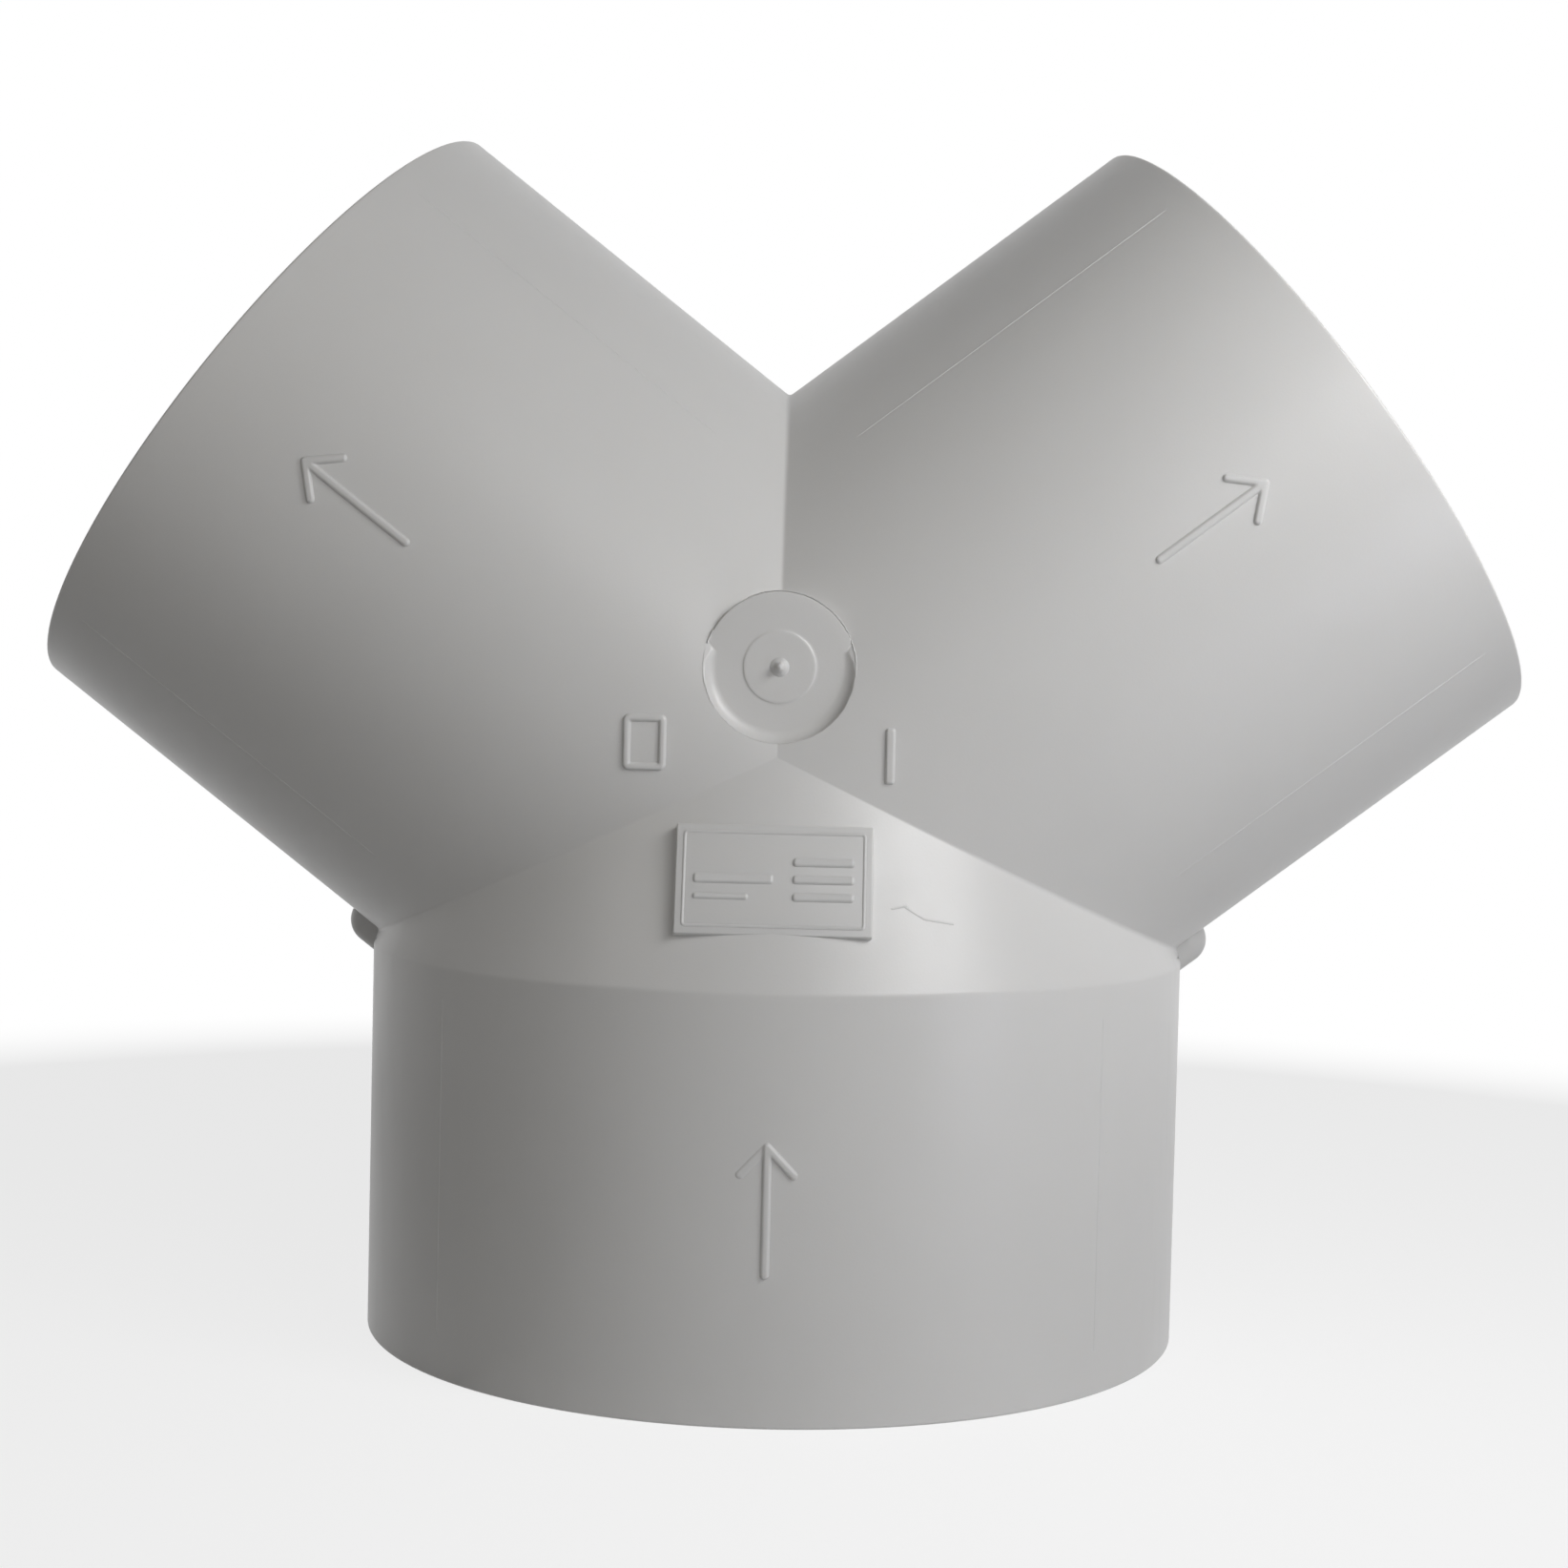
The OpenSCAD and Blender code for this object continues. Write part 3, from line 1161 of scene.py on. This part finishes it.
@dataclass
class MouldFlash:
    """Thin ragged fins where the mould's insert for the pad met the rest of it."""

    spans: tuple[tuple[float, float, float, float], ...] = (
        (152.0, 163.0, 0.75, 0.22), (166.0, 214.0, 0.22, 0.16), (-6.0, 22.0, 0.34, 0.2),
        (24.0, 116.0, 0.16, 0.2), (214.0, 292.0, 0.08, 0.12),
    )
    seed: int = 5

    def build(self, skin: Skin, pad: GatePad, material: bpy.types.Material) -> None:
        """Builds the fins, each as a thin closed strip along the pad's edge."""
        maker = MeshMaker()
        random = np.random.default_rng(self.seed)
        for start, end, height, width in self.spans:
            count = max(12, round((end - start) * 1.2))
            turn = np.radians(np.linspace(start, end, count))
            ragged = np.convolve(random.uniform(0.15, 1.0, count + 4), np.ones(5) / 5, "valid")
            ragged *= random.uniform(0.75, 1.1, count)
            ends = np.sin(np.linspace(0.0, math.pi, count)) ** 0.35
            rise = height * ragged * ends
            radius = np.full(count, pad.radius + 0.05)
            surface = np.maximum(pad.depth(skin, radius, turn), 0.0)
            lean = random.normal(0.0, 0.04, count)
            pairs = np.array([
                np.stack([radius - width / 2, surface - 0.35], -1),
                np.stack([radius - width * 0.3 + lean, surface + rise * 0.6], -1),
                np.stack([radius + lean, surface + rise], -1),
                np.stack([radius + width * 0.3 + lean, surface + rise * 0.6], -1),
                np.stack([radius + width / 2, surface - 0.35], -1),
            ])
            points = pad.place(pairs, turn).transpose(1, 0, 2)
            close_ends(maker, maker.grid(points, True))
        maker.finish("mould_flash", material)


@dataclass
class MouldLines:
    """Fine raised lines along the tubes, where the mould's slides met, and faint scuffs."""

    turn: float = math.radians(48.15)
    width: float = 0.3
    height: float = 0.075
    inlet_span: tuple[float, float] = (-87.0, -28.5)
    outlet_span: tuple[float, float] = (50.0, 116.5)
    scuffs: tuple[tuple[float, float, float, float], ...] = (
        (19.2, -10.4, 21.6, -10.0), (21.4, -10.2, 24.2, -11.9), (24.4, -12.1, 29.3, -12.9),
        (57.2, -52.6, 57.5, -52.4),
    )

    def build(self, spots: Spots, skin: Skin, inlet_r: float, material: bpy.types.Material) -> None:
        """Builds the lines on all three tubes and the scuffs beside the plate."""
        maker, relief = MeshMaker(), Relief(flank=0.1, skirt=0.12, sink=0.12, root=0.6)
        tube_r = float(skin.outlet_r(np.array([skin.root_l]))[0])
        runs = [(spots.inlet, inlet_r, self.inlet_span)]
        runs += [(spots.outlet(side), tube_r, self.outlet_span) for side in Side]
        for spot, radius, (low, high) in runs:
            for way in (-1, 1):
                middle = way * self.turn * radius
                line = Raised(stroke((middle, low), (middle, high), self.width), self.height)
                box = (middle - 0.35, middle + 0.35, low - 0.3, high + 0.3)
                relief.add(maker, spot, [line], box, (0.05, 1.5))
        for x0, z0, x1, z1 in self.scuffs:
            scuff = Raised(stroke((x0, z0), (x1, z1), 0.34), 0.07)
            box = (min(x0, x1) - 0.5, max(x0, x1) + 0.5, min(z0, z1) - 0.5, max(z0, z1) + 0.5)
            relief.add(maker, spots.front, [scuff], box, (0.08, 0.08))
        maker.finish("mould_lines", material)


# Studio


@dataclass(frozen=True)
class PhotoCamera:
    """Camera at the photo's viewing angle."""

    location: tuple[float, float, float] = (0.0055218, -0.48303574, 0.12035521)
    turn_deg: tuple[float, float, float] = (87.66145353, -1.34687776, 0.64529873)
    lens: float = 59.10985

    def build(self) -> None:
        """Makes the camera and hands it to the scene."""
        data = bpy.data.cameras.new("photo_camera")
        data.sensor_width = 36.0
        data.lens = self.lens
        data.clip_start, data.clip_end = 0.01, 20.0
        made = bpy.data.objects.new("photo_camera", data)
        made.location = self.location
        made.rotation_euler = [math.radians(a) for a in self.turn_deg]
        bpy.context.scene.collection.objects.link(made)
        bpy.context.scene.camera = made


@dataclass(frozen=True)
class Lamp:
    """One soft lamp, aimed at the middle of the fitting."""

    name: str
    azimuth: float
    elevation: float
    power: float
    size: float
    distance: float = 1.1
    colour: tuple[float, float, float] = (1.0, 1.0, 1.0)

    def build(self) -> None:
        """Makes the lamp."""
        a, e = math.radians(self.azimuth), math.radians(self.elevation)
        away = Vector((math.sin(a) * math.cos(e), -math.cos(a) * math.cos(e), math.sin(e)))
        data = bpy.data.lights.new(self.name, "AREA")
        data.shape = "DISK"
        data.size = self.size
        data.energy = self.power
        data.color = self.colour
        made = bpy.data.objects.new(self.name, data)
        made.visible_camera = False
        made.location = Vector((0.0, 0.0, 0.1)) + away * self.distance
        made.rotation_euler = away.to_track_quat("Z", "Y").to_euler()
        bpy.context.scene.collection.objects.link(made)


@dataclass(frozen=True)
class Studio:
    """White surroundings, a pale floor that keeps the fitting's shadow, and the lamps."""

    lamps: tuple[Lamp, ...] = (
        Lamp("front_lamp", 28.0, 22.0, 0.97, 0.35, 0.7),
        Lamp("key_lamp", 46.0, 28.0, 0.47, 0.16, 0.36),
        Lamp("fill_lamp", -40.0, 28.0, 0.06, 0.16, 0.36, (1.0, 0.94, 0.84)),
        Lamp("low_lamp", 50.0, -12.0, 0.07, 0.12, 0.36, (0.84, 0.86, 1.0)),
    )
    surroundings: float = 0.02
    floor_size: float = 6.0
    shadow_share: float = 0.2
    fade: tuple[float, float] = (0.12, 0.45)

    def world(self) -> None:
        """White where it is seen directly, and a soft grey light elsewhere."""
        world = bpy.data.worlds.new("studio")
        bpy.context.scene.world = world
        world.use_nodes = True
        graph = Graph(world.node_tree)
        seen = self.seen(graph)
        strength = self.surroundings + seen * (1.0 - self.surroundings)
        back = graph.node("ShaderNodeBackground", {}, {"Color": (1.0, 1.0, 1.0, 1.0), "Strength": strength})
        graph.node("ShaderNodeOutputWorld", {}, {"Surface": back.outputs[0]})

    def seen(self, graph: Graph) -> Value:
        """One for rays from the camera or through gloss or glass, and otherwise nothing."""
        path = graph.node("ShaderNodeLightPath")
        found = [Value(graph, path.outputs[n]) for n in
                 ("Is Camera Ray", "Is Glossy Ray", "Is Transmission Ray")]
        return found[0].larger(found[1]).larger(found[2])

    def floor(self) -> None:
        """Lays the floor, which looks white but for the fitting's soft shadow."""
        half = self.floor_size / 2
        mesh = bpy.data.meshes.new("studio_floor")
        corners = [(-half, -half, 0.0), (half, -half, 0.0), (half, half, 0.0), (-half, half, 0.0)]
        mesh.from_pydata(corners, [], [(0, 1, 2, 3)])
        made = bpy.data.objects.new("studio_floor", mesh)
        bpy.context.scene.collection.objects.link(made)
        paint = bpy.data.materials.new("studio_floor")
        paint.use_nodes = True
        graph = Graph(paint.node_tree)
        matt = graph.node("ShaderNodeBsdfDiffuse", {}, {"Color": (0.8, 0.8, 0.8, 1.0)})
        bright = graph.node("ShaderNodeEmission", {}, {"Strength": 1.0})
        place = graph.value("ShaderNodeNewGeometry", {}, {}, "Position")
        away = graph.value("ShaderNodeVectorMath", {"operation": "LENGTH"}, {0: place}, "Value")
        share = self.seen(graph) * away.ramp(*self.fade).larger(1.0 - self.shadow_share)
        mix = graph.node("ShaderNodeMixShader", {}, {0: share, 1: matt.outputs[0], 2: bright.outputs[0]})
        graph.node("ShaderNodeOutputMaterial", {}, {"Surface": mix.outputs[0]})
        mesh.materials.append(paint)

    def build(self) -> None:
        """Sets up the surroundings, the floor and the lamps."""
        bpy.context.scene.view_settings.view_transform = "Standard"
        self.world()
        self.floor()
        for lamp in self.lamps:
            lamp.build()
            log.info("%s: %.2f W", lamp.name, lamp.power)


def corners(bounds: tuple[Vector, Vector]) -> list[list[float]]:
    """Two corners as plain lists of numbers."""
    return [list(corner) for corner in bounds]


def main() -> None:
    """Builds the fitting's pieces and the studio."""
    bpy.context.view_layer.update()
    PhotoCamera().build()
    plastic = MouldedPlastic().material()
    shell = BranchShell()
    shell.build(plastic)
    skin, inlet_r, tube_r = shell.outer, shell.sizes.inlet_r, shell.sizes.outlet_r
    spots = Spots(skin, inlet_r)
    FlowArrows().build(spots, plastic)
    RaisedMarks().build(spots, plastic)
    BarePlate().build(skin, plastic)
    DuctStops().build(skin, tube_r, plastic)
    SprueNib().build(shell.pad, plastic)
    MouldFlash().build(skin, shell.pad, plastic)
    MouldLines().build(spots, skin, inlet_r, plastic)
    Studio().build()


if __name__ == "__main__":
    main()
